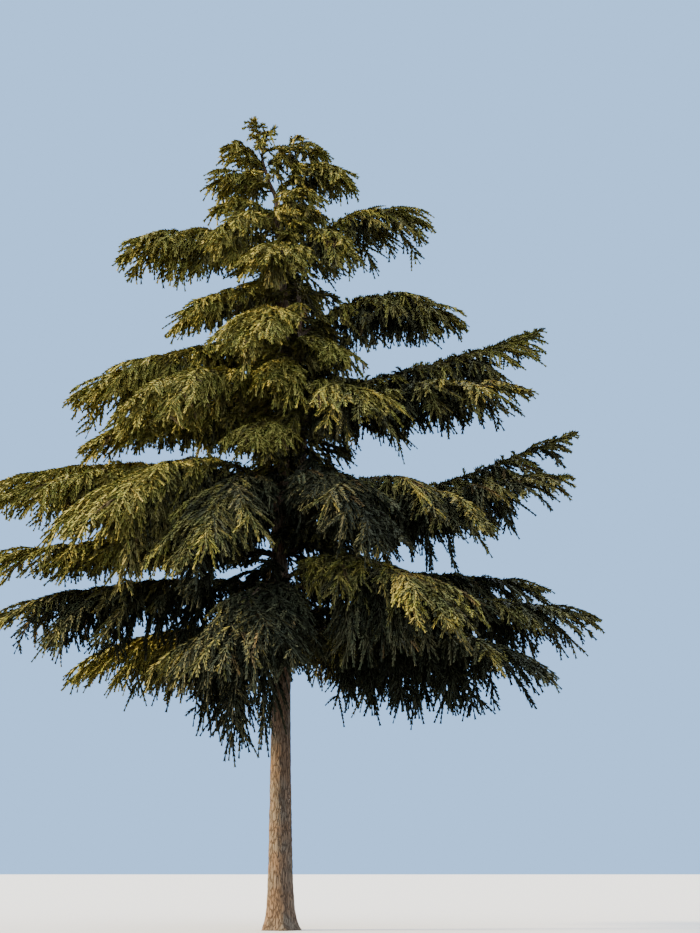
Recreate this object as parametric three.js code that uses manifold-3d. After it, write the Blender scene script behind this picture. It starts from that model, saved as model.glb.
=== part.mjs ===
// A weeping cedar about 17.4 m high, in millimetres, +Z up, with the origin in
// the middle of the flat cut under its trunk, at ground level.
// The tree is a trunk with a second stem beside it, main boughs that arch out
// of them in tiers, and masses of foliage, each grown by a seeded rule from
// one stem.
import * as THREE from "three";
import { mergeVertices } from "three/addons/utils/BufferGeometryUtils.js";
import Module from "manifold-3d";

const wasm = await Module();
wasm.setup();

// Stems: each knot gives a height, the axis's place there and the radius
const TRUNK = [
  { z: 0, x: 0, y: 0, radius: 270 },
  { z: 1300, x: -15, y: 10, radius: 238 },
  { z: 2900, x: -35, y: 20, radius: 210 },
  { z: 4500, x: -40, y: 15, radius: 188 },
  { z: 6500, x: 0, y: 0, radius: 162 },
  { z: 7600, x: -130, y: -10, radius: 148 },
  { z: 9400, x: -50, y: 10, radius: 124 },
  { z: 11300, x: -40, y: 30, radius: 108 },
  { z: 13100, x: -80, y: 20, radius: 88 },
  { z: 14300, x: -180, y: 0, radius: 74 },
  { z: 15650, x: -300, y: 0, radius: 54 },
  { z: 16050, x: -470, y: 20, radius: 40 },
  { z: 16650, x: -640, y: -30, radius: 24 },
];
const SECOND_STEM = [
  { z: 8150, x: -60, y: -20, radius: 104 },
  { z: 8650, x: 190, y: -40, radius: 98 },
  { z: 9400, x: 340, y: -50, radius: 92 },
  { z: 10900, x: 380, y: -40, radius: 80 },
  { z: 12100, x: 270, y: -20, radius: 64 },
  { z: 13500, x: 230, y: 10, radius: 42 },
];
const TRUNK_SIDES = 12;
const TRUNK_RINGS = 20;
const SECOND_STEM_SIDES = 8;
const SECOND_STEM_RINGS = 9;
const RINGS_CROWD_DOWN = 1.25;

// The root flare: what it adds to the radius at the ground, the rise over
// which it fades to a third, and its lobes
const FLARE_SPREAD = 0.42;
const FLARE_FADE = 250;
const FLARE_LOBES = 5;
const FLARE_LOBE_DEPTH = 0.34;

// Joints between solids, the room that foliage leaves round limbs and between
// one mass's space and the next, and how a mass's space leans to what is
// below its stem
const GAP = 0.3;
const LIMB_CLEARANCE = 90;
const SPACE_MARGIN = 45;
const REACH_BELOW = 0.62;
const REACH_ABOVE = 1.5;

// Limbs: a bough is the bare share of a limb, a mass's stem is the rest of it
const RADIUS_PER_REACH = 0.0098;
const TIP_RADIUS = 9;
const TAPER_POWER = 0.8;
const BOUGH_SIDES = 6;
const BOUGH_STEPS = 3;
const STEM_SIDES = 4;
const STEM_STEPS = 3;
const STEM_END = 0.86;
const BARE_SHARE = 0.2;
const SPINE_LINES = 8;

// Twigs: they fork off the stem, then droop, and each ends in a plume of
// needles. Angles are in degrees, sizes vary by a share of themselves.
const TWIG_SPACING = 1000;
const FEWEST_TWIGS = 4;
const TWIG_FORWARD = 54;
const TWIG_FORWARD_VARIATION = 14;
const TWIG_FALL = 0.12;
const TWIG_RADIUS_SHARE = 0.45;
const HANG_LEAN = 0.4;
const HANG_LEAN_VARIATION = 0.3;
const SIZE_VARIATION = 0.3;
const ROOT_SHIFT = 0.4;
const END_MARGIN = 0.02;

// A mass's half width rises and falls along its stem as part of a sine wave
const WIDTH_WAVE_START = 0.22;
const WIDTH_WAVE_RUN = 0.7;

// The seed of the first limb's random numbers, and the step to the next
const SEED = 1871;
const SEED_STEP = 97;

// A plume of needles is a toothed blade on its twig. The rim gives the teeth
// and notches as shares of its length and half width, left side first.
const PLUME_RIM = [
  [0.3, -0.85],
  [0.44, -0.42],
  [0.66, -0.66],
  [1, 0],
  [0.76, 0.52],
  [0.6, 0.34],
  [0.38, 0.95],
];
const PLUME_MIDDLE = 0.42;
const PLUME_HALF_WIDTH = 0.34;
const PLUME_THICKNESS = 0.026;
const PLUME_DROOP = 0.38;
const PLUME_FOOT_DEPTH = 0.6;
const PLUME_LENGTHS = [1, 0.8, 0.6];
const TIP_FOOT_SHARE = 0.8;

// Limbs from the top down. Each row holds its name, the height where it leaves
// the stem, its bearing counted from +X towards +Y, the reach of its tip from
// the tree's axis, the height of the tip, how far its middle stands above the
// straight line, the half width of its foliage, the length of the sprays that
// hang from it, and whether its bare part is a main bough, a node of its own.
const LIMBS = [
  ["crown_tip", 16450, 215, 950, 17250, 120, 1050, 1200, false],
  ["crown_high_left", 16250, 192, 1450, 16700, 260, 800, 1000, false],
  ["crown_high_right", 16350, 350, 800, 16600, 330, 850, 1000, false],
  ["crown_left", 15750, 186, 1750, 15800, 360, 900, 950, false],
  ["crown_right", 15600, 352, 1400, 15900, 560, 1050, 1100, false],
  ["crown_low_left", 15000, 197, 1700, 15050, 360, 750, 600, false],
  ["crown_front", 14950, 290, 1400, 15150, 250, 750, 950, false],
  ["crown_back", 15350, 75, 1800, 15750, 260, 900, 1000, false],
  ["upper_left", 14350, 183, 3700, 14020, 560, 1150, 1350, false],
  ["upper_right", 13750, 4, 3150, 15000, 880, 1250, 800, false],
  ["upper_front", 13900, 262, 2000, 13350, 420, 1050, 1050, false],
  ["upper_heart", 14600, 216, 1900, 14100, 560, 1100, 1200, false],
  ["upper_front_right", 14400, 329, 1650, 13900, 480, 1020, 1150, false],
  ["upper_back", 13350, 104, 2800, 14150, 420, 1300, 1100, false],
  ["shoulder_left", 13000, 193, 2450, 12250, 600, 1150, 1100, false],
  ["shoulder_right", 12300, 356, 3750, 12450, 780, 1150, 1400, false],
  ["shoulder_front", 12500, 250, 2500, 11250, 620, 1250, 1250, false],
  ["shoulder_heart", 11850, 322, 1600, 11400, 420, 1100, 1500, false],
  ["shoulder_back", 12800, 105, 3400, 12700, 520, 1500, 1250, false],
  ["middle_left", 12100, 187, 4550, 10650, 490, 1500, 1300, false],
  ["middle_right", 10950, 6, 5700, 12700, -110, 1250, 1200, true],
  ["middle_fork_right", 10300, 343, 5300, 10550, 420, 1250, 1200, false],
  ["middle_low_left", 10250, 197, 4250, 9400, 560, 1250, 1150, false],
  ["middle_back_right", 11300, 62, 4700, 11700, 420, 1800, 1300, false],
  ["middle_back_left", 11100, 132, 4500, 11300, 420, 1800, 1300, false],
  ["middle_front_left", 10800, 222, 4000, 9800, 780, 1550, 1000, false],
  ["middle_front_right", 10450, 304, 3000, 9850, 640, 1300, 950, false],
  ["middle_heart", 11250, 266, 1900, 10650, 420, 1150, 1400, false],
  ["long_heart", 9850, 252, 2300, 9250, 460, 1150, 1300, false],
  ["long_heart_right", 7950, 322, 1750, 7050, 420, 1050, 1250, false],
  ["long_left", 8900, 178, 6250, 8980, 500, 1550, 1250, true],
  ["low_left", 8450, 197, 5950, 8150, 760, 1450, 1400, false],
  ["low_fork_left", 7450, 189, 6150, 7150, 340, 1500, 1500, false],
  ["curtain_left", 8800, 221, 5150, 7150, 1050, 1550, 1900, false],
  ["curtain_front", 8500, 243, 3900, 6500, 1150, 1350, 2000, false],
  ["dome_front", 7900, 300, 3900, 6900, 1400, 1550, 1600, false],
  ["dome_right", 8000, 329, 4700, 7400, 1100, 1450, 1650, false],
  ["long_right", 7850, 2, 6250, 10230, -120, 1350, 1200, true],
  ["long_fork_right", 7400, 344, 6050, 8700, 420, 1300, 1200, false],
  ["long_back_right", 8600, 48, 5500, 9200, 540, 2100, 1450, false],
  ["long_back", 9300, 96, 4900, 9500, 520, 2100, 1450, false],
  ["long_back_left", 8300, 140, 5450, 8600, 580, 2050, 1450, false],
  ["skirt_left", 6750, 184, 5950, 6050, 420, 1600, 1250, true],
  ["skirt_low_left", 5750, 212, 2450, 5000, 420, 1200, 1200, false],
  ["skirt_front_left", 6500, 236, 3200, 4700, 420, 1300, 2000, false],
  ["skirt_front", 6600, 258, 4200, 4550, 760, 1600, 2300, false],
  ["skirt_front_right", 6900, 309, 5100, 5400, 820, 1700, 1550, false],
  ["skirt_low_right", 5600, 331, 5800, 4550, 720, 1500, 1300, false],
  ["skirt_right", 6100, 352, 6450, 5950, 420, 1450, 1250, true],
  ["skirt_high_right", 6750, 14, 5850, 7000, 300, 1550, 1250, false],
  ["skirt_back_right", 5900, 55, 5600, 5700, 520, 2200, 1450, false],
  ["skirt_back", 6600, 98, 5300, 6400, 560, 2200, 1450, false],
  ["skirt_back_left", 5700, 145, 5500, 5500, 520, 2100, 1450, false],
];
const ON_SECOND_STEM = [
  "upper_back",
  "shoulder_right",
  "shoulder_heart",
  "middle_right",
  "middle_fork_right",
  "middle_front_right",
];
const UP = new THREE.Vector3(0, 0, 1);
const MERGE_DISTANCE = 1e-3;

const bark = new THREE.MeshStandardMaterial({
  name: "bark",
  color: 0x6f5a48,
  roughness: 0.95,
  metalness: 0,
});
const foliage = new THREE.MeshStandardMaterial({
  name: "foliage",
  color: 0x4c5a2a,
  roughness: 0.85,
  metalness: 0,
});

// A repeatable stream of numbers from 0 to 1
function seeded(seed) {
  let state = seed >>> 0;
  return () => {
    state = (Math.imul(state, 1664525) + 1013904223) >>> 0;
    return state / 4294967296;
  };
}

// Turns a closed geometry into a solid, joined at its shared vertices
function solidOf(geometry) {
  geometry.deleteAttribute("normal");
  geometry.deleteAttribute("uv");
  const merged = mergeVertices(geometry, MERGE_DISTANCE);
  return new wasm.Manifold(
    new wasm.Mesh({
      numProp: 3,
      vertProperties: merged.attributes.position.array,
      triVerts: new Uint32Array(merged.index.array),
    }),
  );
}

// Gives a solid back as a named mesh, keeping its largest body
function meshOf(name, solid, material) {
  const bodies = solid.decompose();
  bodies.sort((a, b) => b.volume() - a.volume());
  const { vertProperties, triVerts } = bodies[0].getMesh();
  const geometry = new THREE.BufferGeometry();
  geometry.setAttribute("position", new THREE.BufferAttribute(vertProperties, 3));
  geometry.setIndex(new THREE.BufferAttribute(triVerts, 1));
  geometry.computeVertexNormals();
  const mesh = new THREE.Mesh(geometry, material);
  mesh.name = name;
  return mesh;
}

// The axis's place and the radius of a stem at a height between its knots
function stemAt(knots, z) {
  let upper = knots.findIndex((knot) => knot.z >= z);
  upper = upper < 0 ? knots.length - 1 : Math.max(1, upper);
  const low = knots[upper - 1];
  const high = knots[upper];
  const share = THREE.MathUtils.clamp((z - low.z) / (high.z - low.z), 0, 1);
  return {
    point: new THREE.Vector3(
      THREE.MathUtils.lerp(low.x, high.x, share),
      THREE.MathUtils.lerp(low.y, high.y, share),
      z,
    ),
    radius: THREE.MathUtils.lerp(low.radius, high.radius, share),
  };
}

// An upright stem with level rings; flared gives the trunk its root flare
function stemSolid(knots, sides, rings, grow, flared) {
  const foot = knots[0].z;
  const height = knots[knots.length - 1].z - foot;
  const geometry = new THREE.CylinderGeometry(1, 1, 1, sides, rings);
  const position = geometry.attributes.position;
  for (let i = 0; i < position.count; i++) {
    const share = position.getY(i) + 0.5;
    const z = foot + height * (flared ? share ** RINGS_CROWD_DOWN : share);
    const { point, radius } = stemAt(knots, z);
    const angle = Math.atan2(-position.getZ(i), position.getX(i));
    const onAxis = Math.hypot(position.getX(i), position.getZ(i)) < 0.5;
    const flare = flared ? FLARE_SPREAD * Math.exp(-z / FLARE_FADE) : 0;
    const lobe = 1 + FLARE_LOBE_DEPTH * Math.cos(FLARE_LOBES * angle);
    const r = onAxis ? 0 : radius * (1 + flare * lobe) + grow;
    position.setXYZ(i, point.x + r * Math.cos(angle), point.y + r * Math.sin(angle), z);
  }
  return solidOf(geometry);
}

// A tapering limb along part of a curve
function limbSolid(curve, start, end, radiusAt, sides, steps) {
  const geometry = new THREE.CylinderGeometry(1, 1, 1, sides, steps);
  const position = geometry.attributes.position;
  for (let i = 0; i < position.count; i++) {
    const share = THREE.MathUtils.lerp(start, end, position.getY(i) + 0.5);
    const tangent = curve.getTangentAt(share);
    const level = new THREE.Vector3().crossVectors(UP, tangent).normalize();
    const rise = new THREE.Vector3().crossVectors(tangent, level);
    const r = radiusAt(share);
    const point = curve
      .getPointAt(share)
      .addScaledVector(level, r * position.getX(i))
      .addScaledVector(rise, -r * position.getZ(i));
    position.setXYZ(i, point.x, point.y, point.z);
  }
  return solidOf(geometry);
}

// The corners of a plume: the foot of its twig, its rim, and its ridge
function plumeCorners(root, direction, across, length, footRadius) {
  const face = new THREE.Vector3().crossVectors(direction, across);
  const corner = (along, side, lift) =>
    root
      .clone()
      .addScaledVector(direction, along * length)
      .addScaledVector(across, side)
      .addScaledVector(face, lift)
      .addScaledVector(UP, -PLUME_DROOP * length * along * along);
  const foot = [-1, 0, 1].map((side) =>
    corner(0, side * footRadius, (side ? -PLUME_FOOT_DEPTH : 1) * footRadius),
  );
  const halfWidth = PLUME_HALF_WIDTH * length;
  const rim = PLUME_RIM.map(([along, side]) => corner(along, side * halfWidth, 0));
  const ridge = corner(PLUME_MIDDLE, 0, Math.max(PLUME_THICKNESS * length, footRadius));
  return { foot, rim, ridge };
}

// The closed solid on those corners: its twig, its top and its underside
function plumeSolid({ foot, rim, ridge }) {
  const [left, top, right] = [0, 1, 2];
  const firstRim = foot.length;
  const lastRim = firstRim + rim.length - 1;
  const ridgeIndex = lastRim + 1;
  const faces = [left, top, right];
  faces.push(left, ridgeIndex, top, left, firstRim, ridgeIndex);
  faces.push(top, ridgeIndex, right, right, ridgeIndex, lastRim);
  faces.push(left, right, firstRim, right, lastRim, firstRim);
  for (let i = firstRim; i < lastRim; i++) {
    faces.push(i, i + 1, ridgeIndex);
    if (i > firstRim) faces.push(firstRim, i + 1, i);
  }
  const geometry = new THREE.BufferGeometry().setFromPoints([...foot, ...rim, ridge]);
  geometry.setIndex(faces);
  return solidOf(geometry);
}

// A limb's arch, from its stem's axis to its tip
function limbCurve(limb, host) {
  const root = stemAt(host, limb.from).point;
  const bearing = THREE.MathUtils.degToRad(limb.bearing);
  const tip = new THREE.Vector3(
    limb.reach * Math.cos(bearing),
    limb.reach * Math.sin(bearing),
    limb.tip,
  );
  const crest = root.clone().lerp(tip, 0.5);
  crest.z += 2 * limb.arch;
  return new THREE.QuadraticBezierCurve3(root, crest, tip);
}

// A chain of straight lines along a run of points
function linesThrough(points) {
  return points.slice(1).map((point, i) => new THREE.Line3(points[i], point));
}

// Each row of the table with its curve, radii, space and random numbers
const limbs = LIMBS.map(
  ([name, from, bearing, reach, tip, arch, spread, hang, isBough], index) => {
    const host = ON_SECOND_STEM.includes(name) ? SECOND_STEM : TRUNK;
    const curve = limbCurve({ from, bearing, reach, tip, arch }, host);
    const rootRadius = RADIUS_PER_REACH * reach;
    const radiusAt = (share) =>
      THREE.MathUtils.lerp(rootRadius, TIP_RADIUS, share ** TAPER_POWER);
    const samples = Array.from({ length: SPINE_LINES + 1 }, (_, i) =>
      curve.getPointAt(THREE.MathUtils.lerp(BARE_SHARE, 1, i / SPINE_LINES)),
    );
    const spine = linesThrough(samples);
    const random = seeded(SEED + SEED_STEP * index);
    return { name, host, curve, radiusAt, spread, hang, isBough, spine, random };
  },
);

// How far a point is from a mass's stem: a mass owns more of what lies below
// its stem than of what lies above it
const nearest = new THREE.Vector3();
function distanceToSpine(point, spine) {
  let least = Infinity;
  for (const line of spine) {
    line.closestPointToPoint(point, true, nearest);
    nearest.sub(point);
    nearest.z *= nearest.z > 0 ? REACH_BELOW : REACH_ABOVE;
    least = Math.min(least, nearest.length());
  }
  return least;
}

// Whether a point is nearer to its own mass's stem than to any other
function isInSpace(point, limb) {
  const own = distanceToSpine(point, limb.spine) + SPACE_MARGIN;
  return limbs.every((other) => other === limb || distanceToSpine(point, other.spine) > own);
}

// Every limb that foliage keeps clear of, as lines with a radius
const stemLines = [TRUNK, SECOND_STEM].flatMap((knots) =>
  linesThrough(knots.map(({ x, y, z }) => new THREE.Vector3(x, y, z))).map((line, i) => ({
    line,
    radius: knots[i].radius,
  })),
);
const boughLines = limbs.flatMap(({ curve, radiusAt }) =>
  linesThrough([0, 0.5, 1].map((share) => curve.getPointAt(share * BARE_SHARE))).map(
    (line) => ({ line, radius: radiusAt(0) }),
  ),
);
const limbLines = [...stemLines, ...boughLines];

function isClearOfLimbs(point) {
  return limbLines.every(({ line, radius }) => {
    line.closestPointToPoint(point, true, nearest);
    return nearest.distanceTo(point) > radius + LIMB_CLEARANCE;
  });
}

function isFree(points, limb) {
  return points.every(
    (point) => point.z > 0 && isClearOfLimbs(point) && isInSpace(point, limb),
  );
}

// Adds a plume to a mass, at the longest of three lengths that has room
function addPlume(pieces, limb, root, direction, across, length, footRadius) {
  for (const share of PLUME_LENGTHS) {
    const corners = plumeCorners(root, direction, across, share * length, footRadius);
    const { rim, ridge } = corners;
    const inner = rim.map((point) => point.clone().lerp(ridge, 0.5));
    if (isFree([...rim, ...inner, ridge], limb)) {
      pieces.push(plumeSolid(corners));
      return;
    }
  }
}

// How wide a mass is at a share of the way along its stem
function widthShare(share) {
  return Math.sin(Math.PI * (WIDTH_WAVE_START + WIDTH_WAVE_RUN * share));
}

// The level direction across another one
function levelAcross(direction) {
  return new THREE.Vector3().crossVectors(UP, direction).normalize();
}

// One mass: its stem, plumes to the left and right by turns, others that hang
// under every second of them, and the plume that ends the stem
function growMass(limb) {
  const { curve, random, spread, hang, radiusAt } = limb;
  const vary = (variation) => variation * (random() - 0.5);
  const length = curve.getLength();
  const start = limb.isBough ? BARE_SHARE + GAP / length : 0;
  const whole = limbSolid(curve, start, STEM_END, radiusAt, STEM_SIDES, STEM_STEPS);
  const stem = limb.isBough ? whole : whole.subtract(grown.get(limb.host));
  const pieces = [stem];
  const step = (STEM_END - start) / STEM_STEPS;
  const stemPoint = (share) => {
    const ring = start + step * Math.floor((share - start) / step);
    return curve.getPointAt(ring).lerp(curve.getPointAt(ring + step), (share - ring) / step);
  };
  const leafy = (share) =>
    THREE.MathUtils.lerp(BARE_SHARE + END_MARGIN, STEM_END - END_MARGIN, share);
  const room = (length * (1 - BARE_SHARE)) / TWIG_SPACING;
  const count = Math.max(FEWEST_TWIGS, Math.round(room));
  for (let i = 0; i < count; i++) {
    const share = (i + 0.5 + vary(ROOT_SHIFT)) / count;
    const along = leafy(share);
    const side = i % 2 ? 1 : -1;
    const turn = side * THREE.MathUtils.degToRad(TWIG_FORWARD + vary(TWIG_FORWARD_VARIATION));
    const direction = curve.getTangentAt(along).applyAxisAngle(UP, turn);
    direction.z -= TWIG_FALL * (1 + vary(1));
    direction.normalize();
    const reach = spread * widthShare(share) * (1 + vary(SIZE_VARIATION));
    const foot = TWIG_RADIUS_SHARE * radiusAt(along);
    const across = levelAcross(direction);
    addPlume(pieces, limb, stemPoint(along), direction, across, reach, foot);
    if (i % 2) continue;
    const next = leafy((i + 1) / count);
    const hanging = curve.getTangentAt(next).applyAxisAngle(UP, side * random());
    hanging.multiplyScalar(HANG_LEAN + vary(HANG_LEAN_VARIATION));
    hanging.z = -1;
    hanging.normalize();
    const spin = new THREE.Vector3(1, 0, 0).applyAxisAngle(UP, Math.PI * random());
    const turned = spin.cross(hanging).normalize();
    const drop = hang * (1 + vary(SIZE_VARIATION));
    addPlume(pieces, limb, stemPoint(next), hanging, turned, drop, foot);
  }
  const root = stemPoint(STEM_END - END_MARGIN);
  const toTip = curve.getPointAt(1).sub(root);
  const tipLength = toTip.length();
  toTip.z += PLUME_DROOP * tipLength;
  toTip.normalize();
  const across = levelAcross(toTip);
  const tip = plumeCorners(root, toTip, across, tipLength, TIP_FOOT_SHARE * TIP_RADIUS);
  pieces.push(plumeSolid(tip));
  return wasm.Manifold.union(pieces);
}

// The stems, each beside a copy that is larger by the gap
const stems = [
  { name: "trunk", knots: TRUNK, sides: TRUNK_SIDES, rings: TRUNK_RINGS, flared: true },
  { name: "second_stem", knots: SECOND_STEM, sides: SECOND_STEM_SIDES, rings: SECOND_STEM_RINGS },
];
const grown = new Map(
  stems.map(({ knots, sides, rings, flared }) => [
    knots,
    stemSolid(knots, sides, rings, GAP, flared),
  ]),
);

// The tree: its stems, then each limb's bough, where it has one, and its mass
const tree = new THREE.Group();
tree.name = "cedar";
stems.forEach(({ name, knots, sides, rings, flared }, i) => {
  let solid = stemSolid(knots, sides, rings, 0, flared);
  for (const earlier of stems.slice(0, i)) {
    solid = solid.subtract(grown.get(earlier.knots));
  }
  tree.add(meshOf(name, solid, bark));
});
for (const limb of limbs) {
  if (limb.isBough) {
    const whole = limbSolid(limb.curve, 0, BARE_SHARE, limb.radiusAt, BOUGH_SIDES, BOUGH_STEPS);
    tree.add(meshOf(`bough_${limb.name}`, whole.subtract(grown.get(limb.host)), bark));
  }
  tree.add(meshOf(`foliage_${limb.name}`, growMass(limb), foliage));
}

export default tree;
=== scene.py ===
import math

import bmesh
import bpy
import numpy as np
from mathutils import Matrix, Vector, noise


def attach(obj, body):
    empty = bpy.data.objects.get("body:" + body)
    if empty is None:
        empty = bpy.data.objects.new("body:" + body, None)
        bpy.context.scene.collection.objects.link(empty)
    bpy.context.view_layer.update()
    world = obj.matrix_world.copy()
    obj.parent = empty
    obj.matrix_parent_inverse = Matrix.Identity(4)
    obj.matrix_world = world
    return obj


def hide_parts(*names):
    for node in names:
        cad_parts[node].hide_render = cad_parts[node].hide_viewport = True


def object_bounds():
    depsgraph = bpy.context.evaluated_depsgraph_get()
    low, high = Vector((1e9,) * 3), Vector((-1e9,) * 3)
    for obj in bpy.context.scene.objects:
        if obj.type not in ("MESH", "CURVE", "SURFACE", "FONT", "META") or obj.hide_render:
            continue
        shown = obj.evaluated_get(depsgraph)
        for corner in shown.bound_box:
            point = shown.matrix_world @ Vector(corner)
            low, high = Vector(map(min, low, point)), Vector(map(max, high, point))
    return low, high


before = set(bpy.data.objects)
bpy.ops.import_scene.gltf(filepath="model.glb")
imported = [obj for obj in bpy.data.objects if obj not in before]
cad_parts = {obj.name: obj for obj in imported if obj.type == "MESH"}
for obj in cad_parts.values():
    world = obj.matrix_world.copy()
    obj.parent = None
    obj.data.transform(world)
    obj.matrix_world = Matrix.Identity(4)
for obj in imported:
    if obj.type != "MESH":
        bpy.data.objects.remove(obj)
cad_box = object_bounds()

# The trunk is one living stem of cedar under thick grey-brown bark, which has
# split into long plates. It swells into five low root buttresses at the
# ground, leans a little left higher up, and ends in the tree's leader.
FLARE_SPREAD = 0.42
FLARE_FADE = 0.25
FLARE_LOBES = 5
FLARE_LOBE_DEPTH = 0.34
PLATE_WIDTH = 0.05
PLATE_LENGTH = 0.26
PLATE_DEPTH = 0.012
PLATE_SINK = 0.6
PLATE_GRAIN = 0.4
GRAIN_PER_PLATE = 4
FISSURE_STEEPNESS = 3.2
FISSURE_BROWN = (0.040, 0.025, 0.015, 1)
PLATE_BROWN = (0.160, 0.098, 0.054, 1)
WEATHERED_GREY = (0.145, 0.114, 0.078, 1)
TRUNK_SIDES = 72
TRUNK_RING_STEP = 0.07
FOOT_CROWDING = 1.15
TRUNK_BUMP = 0.014
BARK_SHEEN = 0.25
# Scale and detail of the noise that bends the plates, breaks them into flakes
# and weathers them, and the ranges that show of their values
PLATE_WANDER = (9, 5)
WANDER_SHIFT = (0.16, 0.16, 0.16)
BARK_FLAKES = (55, 6)
FLAKE_HEIGHT = 0.6
WEATHER_PATCHES = (2.2, 4)
WEATHER_RANGE = (0.42, 0.62)
EDGE_RANGE = (0, 0.16)
HEIGHT_RANGE = (0.2, 1.35)
BARK_ROUGHNESS = (0.98, 0.82)
# The knots of a stem: height, place to the right, place to the back and radius
TRUNK = [
    (0.0, 0.0, 0.0, 0.270),
    (1.3, -0.015, 0.01, 0.238),
    (2.9, -0.035, 0.02, 0.210),
    (4.5, -0.04, 0.015, 0.188),
    (6.5, 0.0, 0.0, 0.162),
    (7.6, -0.13, -0.01, 0.148),
    (9.4, -0.05, 0.01, 0.124),
    (11.3, -0.04, 0.03, 0.108),
    (13.1, -0.08, 0.02, 0.088),
    (14.3, -0.18, 0.0, 0.074),
    (15.65, -0.3, 0.0, 0.054),
    (16.05, -0.47, 0.02, 0.040),
    (16.65, -0.64, -0.03, 0.024),
]


def place_on_stem(knots, height):
    """The middle of a stem and its radius at a height."""
    levels, across, along, radii = zip(*knots)
    middle = Vector((np.interp(height, levels, across), np.interp(height, levels, along), height))
    return middle, float(np.interp(height, levels, radii))


def plate_relief(place, depth):
    """How far the bark stands out there: plates between narrow fissures."""
    spot = Vector((place.x / PLATE_WIDTH, place.y / PLATE_WIDTH, place.z / PLATE_LENGTH))
    near, second = noise.voronoi(spot)[0][:2]
    plate = min(1.0, FISSURE_STEEPNESS * (second - near))
    return depth * (plate - PLATE_SINK + PLATE_GRAIN * noise.noise(GRAIN_PER_PLATE * spot))


def barked_tube(sides, rings):
    """An upright tube of unit size, with both ends closed, in rings to be shaped."""
    tube = bmesh.new()
    bmesh.ops.create_cone(tube, cap_ends=True, segments=sides, radius1=1, radius2=1, depth=1)
    bmesh.ops.translate(tube, verts=tube.verts, vec=(0, 0, 0.5))
    uprights = [edge for edge in tube.edges if abs(edge.verts[0].co.z - edge.verts[1].co.z) > 0.5]
    bmesh.ops.subdivide_edges(tube, edges=uprights, cuts=rings - 1, use_grid_fill=True)
    return tube


def finished_piece(name, shape, *materials):
    """The bmesh as an object of the tree, in its place and moving with it."""
    mesh = bpy.data.meshes.new(name)
    shape.to_mesh(mesh)
    shape.free()
    mesh.polygons.foreach_set("use_smooth", [True] * len(mesh.polygons))
    piece = bpy.data.objects.new(name, mesh)
    bpy.context.scene.collection.objects.link(piece)
    for material in materials:
        mesh.materials.append(material)
    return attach(piece, "root")


def bark_stem(knots, sides, ring_step, flared):
    """A stem with its bark: level rings round a bent axis, pushed out in plates."""
    foot, top = knots[0][0], knots[-1][0]
    stem = barked_tube(sides, round((top - foot) / ring_step))
    for corner in stem.verts:
        angle = math.atan2(corner.co.y, corner.co.x)
        height = foot + (top - foot) * corner.co.z ** (FOOT_CROWDING if flared else 1)
        middle, radius = place_on_stem(knots, height)
        out = Vector((math.cos(angle), math.sin(angle), 0))
        flare = FLARE_SPREAD * math.exp(-height / FLARE_FADE) if flared else 0
        lobe = 1 + FLARE_LOBE_DEPTH * math.cos(FLARE_LOBES * angle)
        around = radius * (1 + flare * lobe)
        relief = plate_relief(middle + around * out, PLATE_DEPTH * radius / knots[0][3])
        corner.co = middle + (around + relief) * out
    return stem


def colour_socket(group, name, colour):
    socket = group.interface.new_socket(name=name, in_out="INPUT", socket_type="NodeSocketColor")
    socket.default_value = colour


def number_socket(group, name, value, in_out="INPUT"):
    socket = group.interface.new_socket(name=name, in_out=in_out, socket_type="NodeSocketFloat")
    socket.default_value = value


def noise_node(nodes, scale, detail):
    node = nodes.new("ShaderNodeTexNoise")
    node.inputs["Scale"].default_value = scale
    node.inputs["Detail"].default_value = detail
    return node


def range_node(nodes, given=(0, 1), made=(0, 1)):
    """A node that carries one range of numbers over to another."""
    node = nodes.new("ShaderNodeMapRange")
    for name, limit in zip(("From Min", "From Max", "To Min", "To Max"), (*given, *made)):
        node.inputs[name].default_value = limit
    return node


def blend_node(nodes):
    """A node that mixes two colours."""
    node = nodes.new("ShaderNodeMix")
    node.data_type = "RGBA"
    return node


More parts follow.
